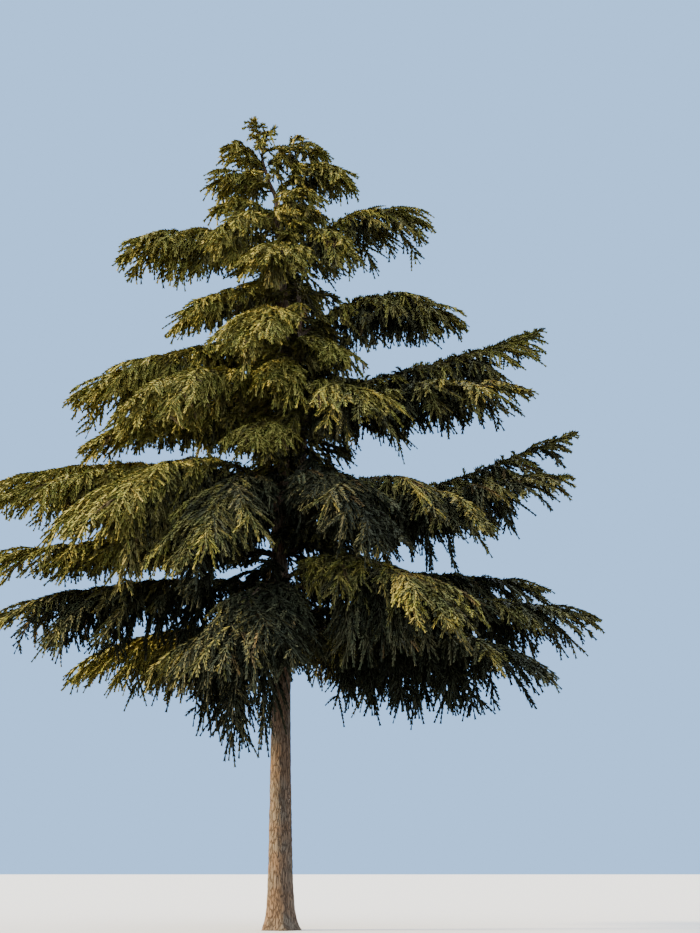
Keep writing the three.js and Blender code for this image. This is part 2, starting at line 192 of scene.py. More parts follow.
def bark_finish():
    """Bark for any thickness of limb: plates, fissures, weathering and their height."""
    group = bpy.data.node_groups.new("bark_finish", "ShaderNodeTree")
    group.interface.new_socket(name="Place", in_out="INPUT", socket_type="NodeSocketVector")
    number_socket(group, "Plates per metre", 1 / PLATE_WIDTH)
    colour_socket(group, "Fissure", FISSURE_BROWN)
    colour_socket(group, "Plate", PLATE_BROWN)
    colour_socket(group, "Weathered", WEATHERED_GREY)
    group.interface.new_socket(name="Colour", in_out="OUTPUT", socket_type="NodeSocketColor")
    number_socket(group, "Roughness", BARK_ROUGHNESS[0], "OUTPUT")
    number_socket(group, "Height", 0, "OUTPUT")
    nodes, link = group.nodes, group.links.new
    given, given_out = nodes.new("NodeGroupInput"), nodes.new("NodeGroupOutput")
    stretch = nodes.new("ShaderNodeMapping")
    stretch.inputs["Scale"].default_value = (1, 1, PLATE_WIDTH / PLATE_LENGTH)
    link(given.outputs["Place"], stretch.inputs["Vector"])
    wander = noise_node(nodes, *PLATE_WANDER)
    link(stretch.outputs["Vector"], wander.inputs["Vector"])
    shifted = nodes.new("ShaderNodeVectorMath")
    shifted.operation = "MULTIPLY_ADD"
    shifted.inputs[1].default_value = WANDER_SHIFT
    link(wander.outputs["Color"], shifted.inputs[0])
    link(stretch.outputs["Vector"], shifted.inputs[2])
    plates = nodes.new("ShaderNodeTexVoronoi")
    plates.feature = "DISTANCE_TO_EDGE"
    link(shifted.outputs["Vector"], plates.inputs["Vector"])
    link(given.outputs["Plates per metre"], plates.inputs["Scale"])
    flakes = noise_node(nodes, *BARK_FLAKES)
    link(stretch.outputs["Vector"], flakes.inputs["Vector"])
    patches = noise_node(nodes, *WEATHER_PATCHES)
    link(given.outputs["Place"], patches.inputs["Vector"])
    crest = range_node(nodes, EDGE_RANGE)
    link(plates.outputs["Distance"], crest.inputs["Value"])
    broken = nodes.new("ShaderNodeMath")
    broken.operation = "MULTIPLY_ADD"
    broken.inputs[1].default_value = FLAKE_HEIGHT
    link(flakes.outputs["Fac"], broken.inputs[0])
    link(crest.outputs["Result"], broken.inputs[2])
    tint = range_node(nodes, WEATHER_RANGE)
    link(patches.outputs["Fac"], tint.inputs["Value"])
    weathering = blend_node(nodes)
    link(tint.outputs["Result"], weathering.inputs["Factor"])
    link(given.outputs["Plate"], weathering.inputs["A"])
    link(given.outputs["Weathered"], weathering.inputs["B"])
    spread = range_node(nodes, HEIGHT_RANGE)
    link(broken.outputs["Value"], spread.inputs["Value"])
    colour = blend_node(nodes)
    link(spread.outputs["Result"], colour.inputs["Factor"])
    link(given.outputs["Fissure"], colour.inputs["A"])
    link(weathering.outputs["Result"], colour.inputs["B"])
    dull = range_node(nodes, made=BARK_ROUGHNESS)
    link(spread.outputs["Result"], dull.inputs["Value"])
    link(colour.outputs["Result"], given_out.inputs["Colour"])
    link(dull.outputs["Result"], given_out.inputs["Roughness"])
    link(broken.outputs["Value"], given_out.inputs["Height"])
    return group


BARK_FINISH = bark_finish()


def bark_material(name, plates_per_metre, bump_height, plate, weathered):
    """A bark: the shared finish at this limb's scale, with its relief as a bump."""
    material = bpy.data.materials.new(name)
    material.use_nodes = True
    nodes, link = material.node_tree.nodes, material.node_tree.links.new
    shader = nodes["Principled BSDF"]
    shader.inputs["Specular IOR Level"].default_value = BARK_SHEEN
    place = nodes.new("ShaderNodeTexCoord")
    finish = nodes.new("ShaderNodeGroup")
    finish.node_tree = BARK_FINISH
    finish.inputs["Plates per metre"].default_value = plates_per_metre
    finish.inputs["Plate"].default_value = plate
    finish.inputs["Weathered"].default_value = weathered
    bump = nodes.new("ShaderNodeBump")
    bump.inputs["Distance"].default_value = bump_height
    link(place.outputs["Object"], finish.inputs["Place"])
    link(finish.outputs["Colour"], shader.inputs["Base Color"])
    link(finish.outputs["Roughness"], shader.inputs["Roughness"])
    link(finish.outputs["Height"], bump.inputs["Height"])
    link(bump.outputs["Normal"], shader.inputs["Normal"])
    return material


TRUNK_BARK = bark_material(
    "trunk_bark", 1 / PLATE_WIDTH, TRUNK_BUMP, PLATE_BROWN, WEATHERED_GREY
)
trunk_shape = bark_stem(TRUNK, TRUNK_SIDES, TRUNK_RING_STEP, flared=True)
trunk = finished_piece("trunk_with_bark", trunk_shape, TRUNK_BARK)
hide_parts("trunk")

# The second stem is an old fork of the same wood. It leaves the trunk a third
# of the way up the crown and climbs beside it, under the same plated bark.
SECOND_STEM = [
    (8.15, -0.06, -0.02, 0.104),
    (8.65, 0.19, -0.04, 0.098),
    (9.4, 0.34, -0.05, 0.092),
    (10.9, 0.38, -0.04, 0.080),
    (12.1, 0.27, -0.02, 0.064),
    (13.5, 0.23, 0.01, 0.042),
]
SECOND_STEM_SIDES = 40
SECOND_STEM_RING_STEP = 0.08
second_shape = bark_stem(SECOND_STEM, SECOND_STEM_SIDES, SECOND_STEM_RING_STEP, flared=False)
second_stem = finished_piece("second_stem_with_bark", second_shape, TRUNK_BARK)
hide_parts("second_stem")

# The boughs are long living limbs that leave the stems in tiers through a
# swollen collar, arch out and thin away to a tip. Their bark is thinner than
# the trunk's, with small flakes.
RADIUS_PER_REACH = 0.0098
TIP_RADIUS = 0.009
TAPER_POWER = 0.8
BARE_SHARE = 0.2
COLLAR_SWELL = 0.55
COLLAR_LENGTH = 0.16
ARCH_STEPS = 200
LIMB_SIDES = 9
LIMB_RING_STEP = 0.13
LIMB_RELIEF = 0.1
RELIEF_FINENESS = 2
BOUGH_FLAKES_PER_METRE = 34
BOUGH_BUMP = 0.006
# The bough bark is painted darker than the trunk's, as painted shade on limbs inside the foliage
BOUGH_BROWN = (0.105, 0.068, 0.040, 1)
BOUGH_GREY = (0.112, 0.088, 0.060, 1)
# A limb's name, the height where it leaves its stem, its bearing counted from
# +X towards +Y, the reach of its tip from the tree's axis, the tip's height,
# how far its middle stands above the straight line, the half width of its
# foliage, the length of the sprays that hang from it, and whether its bare
# part is a main bough
LIMBS = [
    ("crown_tip", 16.45, 215, 0.95, 17.25, 0.12, 1.05, 1.2, False),
    ("crown_high_left", 16.25, 192, 1.45, 16.7, 0.26, 0.8, 1, False),
    ("crown_high_right", 16.35, 350, 0.8, 16.6, 0.33, 0.85, 1, False),
    ("crown_left", 15.75, 186, 1.75, 15.8, 0.36, 0.9, 0.95, False),
    ("crown_right", 15.6, 352, 1.4, 15.9, 0.56, 1.05, 1.1, False),
    ("crown_low_left", 15, 197, 1.7, 15.05, 0.36, 0.75, 0.6, False),
    ("crown_front", 14.95, 290, 1.4, 15.15, 0.25, 0.75, 0.95, False),
    ("crown_back", 15.35, 75, 1.8, 15.75, 0.26, 0.9, 1, False),
    ("upper_left", 14.35, 183, 3.7, 14.02, 0.56, 1.15, 1.35, False),
    ("upper_right", 13.75, 4, 3.15, 15, 0.88, 1.25, 0.8, False),
    ("upper_front", 13.9, 262, 2, 13.35, 0.42, 1.05, 1.05, False),
    ("upper_heart", 14.6, 216, 1.9, 14.1, 0.56, 1.1, 1.2, False),
    ("upper_front_right", 14.4, 329, 1.65, 13.9, 0.48, 1.02, 1.15, False),
    ("upper_back", 13.35, 104, 2.8, 14.15, 0.42, 1.3, 1.1, False),
    ("shoulder_left", 13, 193, 2.45, 12.25, 0.6, 1.15, 1.1, False),
    ("shoulder_right", 12.3, 356, 3.75, 12.45, 0.78, 1.15, 1.4, False),
    ("shoulder_front", 12.5, 250, 2.5, 11.25, 0.62, 1.25, 1.25, False),
    ("shoulder_heart", 11.85, 322, 1.6, 11.4, 0.42, 1.1, 1.5, False),
    ("shoulder_back", 12.8, 105, 3.4, 12.7, 0.52, 1.5, 1.25, False),
    ("middle_left", 12.1, 187, 4.55, 10.65, 0.49, 1.5, 1.3, False),
    ("middle_right", 10.95, 6, 5.7, 12.7, -0.11, 1.25, 1.2, True),
    ("middle_fork_right", 10.3, 343, 5.3, 10.55, 0.42, 1.25, 1.2, False),
    ("middle_low_left", 10.25, 197, 4.25, 9.4, 0.56, 1.25, 1.15, False),
    ("middle_back_right", 11.3, 62, 4.7, 11.7, 0.42, 1.8, 1.3, False),
    ("middle_back_left", 11.1, 132, 4.5, 11.3, 0.42, 1.8, 1.3, False),
    ("middle_front_left", 10.8, 222, 4, 9.8, 0.78, 1.55, 1, False),
    ("middle_front_right", 10.45, 304, 3, 9.85, 0.64, 1.3, 0.95, False),
    ("middle_heart", 11.25, 266, 1.9, 10.65, 0.42, 1.15, 1.4, False),
    ("long_heart", 9.85, 252, 2.3, 9.25, 0.46, 1.15, 1.3, False),
    ("long_heart_right", 7.95, 322, 1.75, 7.05, 0.42, 1.05, 1.25, False),
    ("long_left", 8.9, 178, 6.25, 8.98, 0.5, 1.55, 1.25, True),
    ("low_left", 8.45, 197, 5.95, 8.15, 0.76, 1.45, 1.4, False),
    ("low_fork_left", 7.45, 189, 6.15, 7.15, 0.34, 1.5, 1.5, False),
    ("curtain_left", 8.8, 221, 5.15, 7.15, 1.05, 1.55, 1.9, False),
    ("curtain_front", 8.5, 243, 3.9, 6.5, 1.15, 1.35, 2, False),
    ("dome_front", 7.9, 300, 3.9, 6.9, 1.4, 1.55, 1.6, False),
    ("dome_right", 8, 329, 4.7, 7.4, 1.1, 1.45, 1.65, False),
    ("long_right", 7.85, 2, 6.25, 10.23, -0.12, 1.35, 1.2, True),
    ("long_fork_right", 7.4, 344, 6.05, 8.7, 0.42, 1.3, 1.2, False),
    ("long_back_right", 8.6, 48, 5.5, 9.2, 0.54, 2.1, 1.45, False),
    ("long_back", 9.3, 96, 4.9, 9.5, 0.52, 2.1, 1.45, False),
    ("long_back_left", 8.3, 140, 5.45, 8.6, 0.58, 2.05, 1.45, False),
    ("skirt_left", 6.75, 184, 5.95, 6.05, 0.42, 1.6, 1.25, True),
    ("skirt_low_left", 5.75, 212, 2.45, 5, 0.42, 1.2, 1.2, False),
    ("skirt_front_left", 6.5, 236, 3.2, 4.7, 0.42, 1.3, 2, False),
    ("skirt_front", 6.6, 258, 4.2, 4.55, 0.76, 1.6, 2.3, False),
    ("skirt_front_right", 6.9, 309, 5.1, 5.4, 0.82, 1.7, 1.55, False),
    ("skirt_low_right", 5.6, 331, 5.8, 4.55, 0.72, 1.5, 1.3, False),
    ("skirt_right", 6.1, 352, 6.45, 5.95, 0.42, 1.45, 1.25, True),
    ("skirt_high_right", 6.75, 14, 5.85, 7, 0.3, 1.55, 1.25, False),
    ("skirt_back_right", 5.9, 55, 5.6, 5.7, 0.52, 2.2, 1.45, False),
    ("skirt_back", 6.6, 98, 5.3, 6.4, 0.56, 2.2, 1.45, False),
    ("skirt_back_left", 5.7, 145, 5.5, 5.5, 0.52, 2.1, 1.45, False),
]
ON_SECOND_STEM = (
    "upper_back",
    "shoulder_right",
    "shoulder_heart",
    "middle_right",
    "middle_fork_right",
    "middle_front_right",
)


class Limb:
    """One limb of the table: its arch, told by shares of its length, and its sizes."""

    def __init__(self, name, start, bearing, reach, tip, arch, spread, hang, is_bough):
        self.name, self.spread, self.hang, self.is_bough = name, spread, hang, is_bough
        stem = SECOND_STEM if name in ON_SECOND_STEM else TRUNK
        self.root = np.array(place_on_stem(stem, start)[0])
        turn = math.radians(bearing)
        self.tip = np.array((reach * math.cos(turn), reach * math.sin(turn), tip))
        self.crest = (self.root + self.tip) / 2 + np.array((0, 0, 2 * arch))
        self.root_radius = RADIUS_PER_REACH * reach
        steps = np.linspace(0, 1, ARCH_STEPS + 1)
        walked = np.linalg.norm(np.diff(self.at_step(steps), axis=0), axis=1).cumsum()
        self.length = walked[-1]
        self.steps, self.walked = steps, np.concatenate(([0], walked)) / walked[-1]

    def at_step(self, step):
        step = np.asarray(step)[:, None]
        bend = 2 * step * (1 - step)
        return (1 - step) ** 2 * self.root + bend * self.crest + step**2 * self.tip

    def points(self, shares):
        return self.at_step(np.interp(shares, self.walked, self.steps))

    def tangents(self, shares):
        step = np.interp(shares, self.walked, self.steps)[:, None]
        run = (1 - step) * (self.crest - self.root) + step * (self.tip - self.crest)
        return run / np.linalg.norm(run, axis=1, keepdims=True)

    def radii(self, shares):
        share = np.asarray(shares) ** TAPER_POWER
        return self.root_radius + (TIP_RADIUS - self.root_radius) * share


limbs = [Limb(*row) for row in LIMBS]
boughs = bmesh.new()
for limb in limbs:
    rings = round(limb.length / LIMB_RING_STEP)
    shape = barked_tube(LIMB_SIDES, rings)
    shares = np.linspace(0, 1, rings + 1)
    middles, runs, radii = limb.points(shares), limb.tangents(shares), limb.radii(shares)
    collars = 1 + COLLAR_SWELL * np.exp(-shares * limb.length / COLLAR_LENGTH)
    for corner in shape.verts:
        ring = round(corner.co.z * rings)
        run = Vector(runs[ring])
        level = Vector((0, 0, 1)).cross(run).normalized()
        out = corner.co.x * level + corner.co.y * run.cross(level)
        middle = Vector(middles[ring])
        radius = float(radii[ring] * collars[ring])
        relief = plate_relief(RELIEF_FINENESS * middle + radius * out, LIMB_RELIEF * radius)
        corner.co = middle + (radius + relief) * out
    bent = bpy.data.meshes.new("limb")
    shape.to_mesh(bent)
    shape.free()
    boughs.from_mesh(bent)
    bpy.data.meshes.remove(bent)
BOUGH_BARK = bark_material(
    "bough_bark", BOUGH_FLAKES_PER_METRE, BOUGH_BUMP, BOUGH_BROWN, BOUGH_GREY
)
boughs = finished_piece("boughs_with_bark", boughs, BOUGH_BARK)
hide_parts(*(f"bough_{limb.name}" for limb in limbs if limb.is_bough))

# The twigs are slim brown wood that forks off the boughs: to both sides, under
# them and hanging. Each carries two rows of thin shoots and a fringe of drooping
# ones, and all of them stay in their own bough's space.
SEED = 1871
SEED_STEP = 97
UPRIGHT = np.array((0, 0, 1.0))
NEARLY_UPRIGHT = np.array((0.02, 0.01, 1.0))
NUDGE = 0.001
FACTOR_LEAST = 0.6
FACTOR_SPAN = 0.8
# A limb's space is what lies nearer to its own line than to any other limb's.
# The way down from a line counts for less, and the way up for more
SPINE_LINES = 8
REACH_BELOW = 0.62
REACH_ABOVE = 1.5
SPACE_MARGIN = 0.045
LIMB_CLEARANCE = 0.03
GROUND_CLEARANCE = 0.05
BOX_ROOM = 0.08
POINTS_AT_ONCE = 3000
SECOND_TEST = 0.6
# Side twigs, the ones under them, those that fall, and those near the root of a
# limb: spacing, steepness, size, and the part of the limb that carries them
TWIG_ROWS = (
    (0.14, -0.5, 1.0, (0.2, 0.92)),
    (0.2, 2.5, 0.85, (0.2, 0.9)),
    (0.24, 6, 0.7, (0.2, 0.86)),
    (0.1, 1, 0.6, (0.04, 0.2)),
)
FALLING_FROM = 5
FALLING_SIZE = 0.75
TWIG_FORWARD = 64
TWIG_FORWARD_FADE = 0.78
TWIG_FORWARD_VARIATION = 34
TWIG_SLOPE = 0.45
TWIG_FALL = 0.12
TWIG_DROOP = 0.42
TWIG_SIZES = (1, 0.8, 0.6, 0.42)
TWIG_THICKNESS = 0.3
ROOT_SHIFT = 0.4
SIZE_VARIATION = 0.5
WIDTH_WAVE_START = 0.22
WIDTH_WAVE_RUN = 0.7
WIDTH_LEAST = 0.32
# A twig's light deals its needles a paler tone as painted light, and less for twigs that fall
# under the limb, as painted shade
TOP_LIGHT = 0.75
LIGHT_FADE = 0.07
LIGHT_VARIATION = 0.5
# At the end of a limb the twigs stand further apart, single and longer
OPEN_FROM = 0.55
OPEN_RUN = 0.25
OPEN_THINNING = 0.3
OPEN_LENGTHENING = 0.35
END_ROOM = 0.2
LEADER_FROM = 0.8
LEADER_RADIUS = 0.006
LEADER_LIGHT = 0.8
# Twigs that hang straight down from a limb
HANG_SPACING = 0.19
HANG_FROM = 0.22
HANG_RUN = 0.62
HANG_SIZE = 0.42
HANG_PER_DROP = 0.5
HANG_LEAN = 0.4
HANG_LEAN_VARIATION = 0.3
# Hanging twigs get little light: painted shade on their needles
HANG_LIGHT = 0.2
HANG_LIGHT_VARIATION = 0.3
# Short twigs on the stems between the boughs: which stem, from and to what
# height, and the step of the seed
LEAFY_STRETCHES = (
    (TRUNK, 5.9, 12.6, 1),
    (TRUNK, 13.7, 15.2, 3),
    (TRUNK, 16.1, 16.64, 4),
    (SECOND_STEM, 8.8, 13.4, 2),
)
STEM_TWIG_SPACING = 0.035
STEM_TWIG_LENGTH = 0.95
STEM_TWIG_RISE = 0.5
STEM_TWIG_RISE_SPAN = 0.9
STEM_TWIG_FOOT = 0.8
STEM_TWIG_RADIUS = 0.007
STEM_TWIG_LIGHT = 0.4
STEM_TWIG_LIGHT_SPAN = 0.4
STEM_TWIG_MIDDLE = 0.7
CROWN_FROM = 15
CROWN_TWIG_SIZE = 0.7
# Shoots in a row on each side of a twig fill its outline, which is widest at a
# quarter of its length
SHOOT_SPACING = 0.1
SHOOTS_FROM = 0.08
SHOOTS_RUN = 0.8
SHOOT_SHIFT = 0.9
SHOOT_TURN = 34
SHOOT_TURN_VARIATION = 44
SHOOT_FALL = 0.12
SHOOT_DROOP = 0.18
SHOOT_RADIUS = 0.0032
SHOOT_PER_WIDTH = 1.9
SHOOT_LEAST = 0.07
SHOOT_MOST = 0.6
SHOOT_OPEN_LOSS = 0.42
SHOOT_LIGHT_VARIATION = 0.1
# Painted light: shoots towards a twig's tip get paler needles
TIP_LIGHT = 0.5
TWIG_HALF_WIDTH = 0.34
WIDTH_POWER = 1.5
WIDEST_AT = 0.25
END_POWER = 0.5
# The fringe hangs under the inner part of a twig
FRINGE_UNTIL = 0.6
FRINGE_SPACING = 0.16
FRINGE_TURN = 45
FRINGE_FALL = 2.0
FRINGE_DROOP = 0.3
FRINGE_PER_HANG = 0.36
FRINGE_FADE = 0.4
FRINGE_LENGTHS = (0.2, 0.65)
FRINGE_SIZES = (1, 0.6)
# The crest is the short shoots that stand up along the top of a limb
CREST_SPACING = 0.022
CREST_FROM = 0.06
CREST_RUN = 0.92
CREST_LENGTH = 0.3
CREST_FULL = 1.1
CREST_FADE = 0.4
CREST_FORWARD = 0.9
CREST_SPREAD = 0.5
CREST_LIFT = 0.05
CREST_LIFT_SPAN = 0.4
CREST_DROOP = 0.5
CREST_RADIUS = 0.003
# Crest shoots on the top of a limb get much light: painted light on their needles
CREST_LIGHT = 0.8
CREST_LIGHT_SPREAD = 0.3
WOOD_SIDES = 3
TWIG_RINGS = 4
SHOOT_RINGS = 1
WOOD_TAPER = 0.75
TWIG_FLAKES_PER_METRE = 90
TWIG_BUMP = 0.001
TWIG_BROWN = (0.040, 0.030, 0.020, 1)
TWIG_GREY = (0.058, 0.046, 0.034, 1)

spine_shares = np.linspace(BARE_SHARE, 1, SPINE_LINES + 1)
spine_points = np.array([limb.points(spine_shares) for limb in limbs])
spine_starts = spine_points[:, :-1].reshape(-1, 3)
spine_runs = np.diff(spine_points, axis=1).reshape(-1, 3)
limb_lines = []
for stem in (TRUNK, SECOND_STEM):
    for low, high in zip(stem, stem[1:]):
        limb_lines.append(((low[1], low[2], low[0]), (high[1], high[2], high[0]), low[3]))
for limb in limbs:
    root, middle, end = limb.points([0, BARE_SHARE / 2, BARE_SHARE])
    limb_lines += [(root, middle, limb.root_radius), (middle, end, limb.root_radius)]
line_starts = np.array([line[0] for line in limb_lines])
line_runs = np.array([line[1] for line in limb_lines]) - line_starts
line_radii = np.array([line[2] for line in limb_lines])
box_low, box_high = np.array(cad_box[0]) - BOX_ROOM, np.array(cad_box[1]) + BOX_ROOM


def nearest_on(starts, runs, points):
    """The way from each point to the nearest place on each straight line."""
    away = points[:, None] - starts
    share = np.clip((away * runs).sum(-1) / (runs**2).sum(-1), 0, 1)
    return share[..., None] * runs - away


def far_from_spines(points):
    """How far each point is from every limb's line, as its space counts it."""
    way = nearest_on(spine_starts, spine_runs, points)
    way[..., 2] *= np.where(way[..., 2] > 0, REACH_BELOW, REACH_ABOVE)
    return np.linalg.norm(way, axis=-1).reshape(len(points), -1, SPINE_LINES).min(-1)


def is_free(points, owners):
    """Whether each point is in its own limb's space, over ground and off the limbs."""
    free = np.zeros(len(points), bool)
    for first in range(0, len(points), POINTS_AT_ONCE):
        these = slice(first, first + POINTS_AT_ONCE)
        part, owner = points[these], owners[these]
        far = far_from_spines(part)
        each = np.arange(len(part))
        own = far[each, owner] + SPACE_MARGIN
        far[each, owner] = np.inf
        clear = np.linalg.norm(nearest_on(line_starts, line_runs, part), axis=-1)
        off_limbs = (clear > line_radii + LIMB_CLEARANCE).all(-1)
        in_box = ((part > box_low) & (part < box_high)).all(-1)
        over_ground = part[:, 2] > GROUND_CLEARANCE
        free[these] = (far.min(-1) > own) & off_limbs & over_ground & in_box
    return free


def unit(ways):
    return ways / np.linalg.norm(ways, axis=-1, keepdims=True)


def turned(ways, angles):
    """Directions turned about the upright by an angle each."""
    cos, sin = np.cos(angles), np.sin(angles)
    x, y, z = ways.T
    return np.stack((cos * x - sin * y, sin * x + cos * y, z), -1)


def left_or_right(order):
    """The side that each thing in a row takes by turns."""
    return np.where(order % 2, 1, -1)


def uneven(random, count):
    """Factors about 1, so that no two like things have one size."""
    return FACTOR_LEAST + FACTOR_SPAN * random.random(count)


class Growth:
    """Many twigs or shoots of one order: where each starts and how it runs."""

    def __init__(self, root, way, across, length, droop, radius, owner, light, open_end):
        self.root, self.way, self.across, self.length = root, way, across, length
        self.droop, self.radius, self.owner, self.light = droop, radius, owner, light
        self.open_end = open_end

    def point(self, share):
        along = (self.length * share)[:, None]
        drop = (self.droop * self.length * share**2)[:, None]
        return self.root + along * self.way - drop * UPRIGHT

    def end(self):
        return self.point(np.ones(len(self.length)))

    def run(self, share):
        return self.way - (2 * self.droop * share)[:, None] * UPRIGHT

    def tangent(self, share):
        return unit(self.run(share))

    def chosen(self, which):
        return Growth(*(value[which] for value in vars(self).values()))

    @staticmethod
    def joined(*growths):
        columns = zip(*(vars(growth).values() for growth in growths))
        return Growth(*(np.concatenate(column) for column in columns))


def fitted(growth, sizes):
    """Each at the longest of the sizes that has room, and the rest left out."""
    whole = growth.length
    fits = np.zeros(len(whole), bool)
    for size in sizes:
        trial = growth.chosen(slice(None))
        trial.length = whole * size
        room = is_free(trial.end(), trial.owner)
        room &= is_free(trial.point(np.full(len(whole), SECOND_TEST)), trial.owner)
        growth.length = np.where(room & ~fits, trial.length, growth.length)
        fits |= room
    return growth.chosen(fits)


def twigs_on(limb, owner):
    """The twigs of one limb: a roof of side twigs, under twigs and hanging ones."""
    random = np.random.default_rng(SEED + SEED_STEP * owner)

    def vary(count, variation):
        return variation * (random.random(count) - 0.5)

    kinds = []
    for spacing, fall, size, (first, last) in TWIG_ROWS:
        count = max(2, round(limb.length * (last - first) / spacing))
        each = np.arange(count)
        share = (each + 0.5 + vary(count, ROOT_SHIFT)) / count
        along = first + (last - first) * share
        forward = TWIG_FORWARD * (1 - TWIG_FORWARD_FADE * along**2)
        turn = left_or_right(each) * np.radians(forward + vary(count, TWIG_FORWARD_VARIATION))
        way = turned(limb.tangents(along), turn)
        way[:, 2] = TWIG_SLOPE * way[:, 2] - TWIG_FALL * fall * (1 + vary(count, 1))
        way = unit(way)
        wave = np.sin(np.pi * (WIDTH_WAVE_START + WIDTH_WAVE_RUN * share))
        width = np.maximum(WIDTH_LEAST, wave)
        room = limb.spread if fall < FALLING_FROM else FALLING_SIZE * limb.hang
        open_end = np.clip((along - OPEN_FROM) / OPEN_RUN, 0, 1)
        length = size * room * width * (1 + vary(count, SIZE_VARIATION))
        length *= 1 + OPEN_LENGTHENING * open_end
        length = np.minimum(length, (1 - along) * limb.length + END_ROOM / limb.length**0.5)
        light = (TOP_LIGHT - LIGHT_FADE * fall) * np.ones(count) + vary(count, LIGHT_VARIATION)
        twig = Growth(
            limb.points(along),
            way,
            unit(np.cross(UPRIGHT, way)),
            length,
            TWIG_DROOP * uneven(random, count),
            TWIG_THICKNESS * limb.radii(along),
            np.full(count, owner),
            light,
            open_end,
        )
        kinds.append(twig.chosen(random.random(count) > OPEN_THINNING * open_end))
    count = max(3, round(limb.length * (1 - BARE_SHARE) / HANG_SPACING))
    each = np.arange(count)
    along = HANG_FROM + HANG_RUN * (each + 0.5 + vary(count, ROOT_SHIFT)) / count
    way = turned(limb.tangents(along), left_or_right(each) * random.random(count))
    way *= (HANG_LEAN + vary(count, HANG_LEAN_VARIATION))[:, None]
    way[:, 2] = -1
    way = unit(way)
    spin = np.pi * random.random(count)
    level = np.stack((np.cos(spin), np.sin(spin), np.zeros(count)), -1)
    drop = np.maximum(0, limb.points(along)[:, 2] - limb.tip[2])
    length = (HANG_SIZE * limb.hang + HANG_PER_DROP * drop) * (1 + vary(count, SIZE_VARIATION))
    hanging = Growth(
        limb.points(along),
        way,
        unit(np.cross(level, way)),
        length,
        np.full(count, TWIG_DROOP),
        TWIG_THICKNESS * limb.radii(along),
        np.full(count, owner),
        HANG_LIGHT + vary(count, HANG_LIGHT_VARIATION),
        np.clip((along - OPEN_FROM) / OPEN_RUN, 0, 1),
    )
    kinds.append(hanging.chosen(random.random(count) > hanging.open_end))
    return fitted(Growth.joined(*kinds), TWIG_SIZES)


def twigs_on_stem(knots, low, high, seed_step):
    """Short drooping twigs all round a stem, between its boughs."""
    random = np.random.default_rng(SEED + seed_step)
    count = round((high - low) / STEM_TWIG_SPACING)
    height = low + (high - low) * (np.arange(count) + random.random(count)) / count
    places = [place_on_stem(knots, level) for level in height]
    turn = 2 * np.pi * random.random(count)
    rise = STEM_TWIG_RISE - STEM_TWIG_RISE_SPAN * random.random(count)
    way = np.stack((np.cos(turn), np.sin(turn), rise), -1)
    root = np.array([middle for middle, _ in places])
    root += STEM_TWIG_FOOT * np.array([radius for _, radius in places])[:, None] * way
    way = unit(way)
    size = np.where(height > CROWN_FROM, CROWN_TWIG_SIZE, 1)
    twig = Growth(
        root,
        way,
        unit(np.cross(UPRIGHT, way)),
        STEM_TWIG_LENGTH * uneven(random, count) * size,
        np.full(count, TWIG_DROOP),
        np.full(count, STEM_TWIG_RADIUS),
        np.zeros(count, int),
        STEM_TWIG_LIGHT + STEM_TWIG_LIGHT_SPAN * random.random(count),
        np.zeros(count),
    )
    twig.owner = far_from_spines(twig.point(np.full(count, STEM_TWIG_MIDDLE))).argmin(-1)
    return twig


def leader_of(limb, owner):
    """The twig that carries a limb on to its tip."""
    root = limb.points([LEADER_FROM])
    way = limb.tip - root
    length = np.linalg.norm(way, axis=1)
    way[:, 2] += TWIG_DROOP * length
    across = unit(np.cross(UPRIGHT, way))
    values = (TWIG_DROOP, LEADER_RADIUS, owner, LEADER_LIGHT, 1.0)
    return Growth(root, unit(way), across, length, *(np.array([value]) for value in values))


twigs = Growth.joined(
    *(twigs_on(limb, owner) for owner, limb in enumerate(limbs)),
    *(twigs_on_stem(*stretch) for stretch in LEAFY_STRETCHES),
    *(leader_of(limb, owner) for owner, limb in enumerate(limbs)),
)
random = np.random.default_rng(SEED)


def hosts_of(counts):
    """For things in rows: the carrier of each, and its place in the row there."""
    host = np.repeat(np.arange(len(counts)), counts)
    order = np.arange(len(host)) - np.repeat(counts.cumsum() - counts, counts)
    return host, order


def shoots_on(twigs, spacing, turn, length_at, fall, droop):
    """Rows of shoots on both sides of every twig, each pointing forward and down."""
    counts = np.maximum(2, np.round(twigs.length / spacing)).astype(int)
    host, order = hosts_of(counts)
    count = len(host)
    carrier = twigs.chosen(host)
    shift = SHOOT_SHIFT * (random.random(count) - 0.5)
    share = SHOOTS_FROM + SHOOTS_RUN * (order + 0.5 + shift) / counts[host]
    angle = np.radians(turn + SHOOT_TURN_VARIATION * (random.random(count) - 0.5))[:, None]
    side = left_or_right(order)[:, None] * carrier.across
    way = np.cos(angle) * carrier.tangent(share) + np.sin(angle) * side
    way[:, 2] -= fall * random.random(count)
    way = unit(way)
    length = length_at(carrier, share) * uneven(random, count)
    shade = SHOOT_LIGHT_VARIATION * (random.random(count) - 0.5)
    return Growth(
        carrier.point(share),
        way,
        unit(np.cross(way, NEARLY_UPRIGHT)),
        length,
        np.full(count, droop),
        np.full(count, SHOOT_RADIUS),
        carrier.owner,
        carrier.light + shade + TIP_LIGHT * (share - 0.5),
        carrier.open_end,
    )


def side_length(twig, share):
    """Side shoots fill the twig's own outline, and are shorter where it stands single."""
    width = TWIG_HALF_WIDTH * twig.length**WIDTH_POWER
    width = width * np.minimum(1, share / WIDEST_AT) * (1 - share) ** END_POWER
    longest = SHOOT_MOST - SHOOT_OPEN_LOSS * twig.open_end
    return np.clip(SHOOT_PER_WIDTH * width, SHOOT_LEAST, longest)


def fringe_length(twig, share):
    """The fringe hangs lower under the twig's inner part."""
    hang = np.array([limb.hang for limb in limbs])[twig.owner]
    return np.clip(hang * FRINGE_PER_HANG * (1 - FRINGE_FADE * share), *FRINGE_LENGTHS)


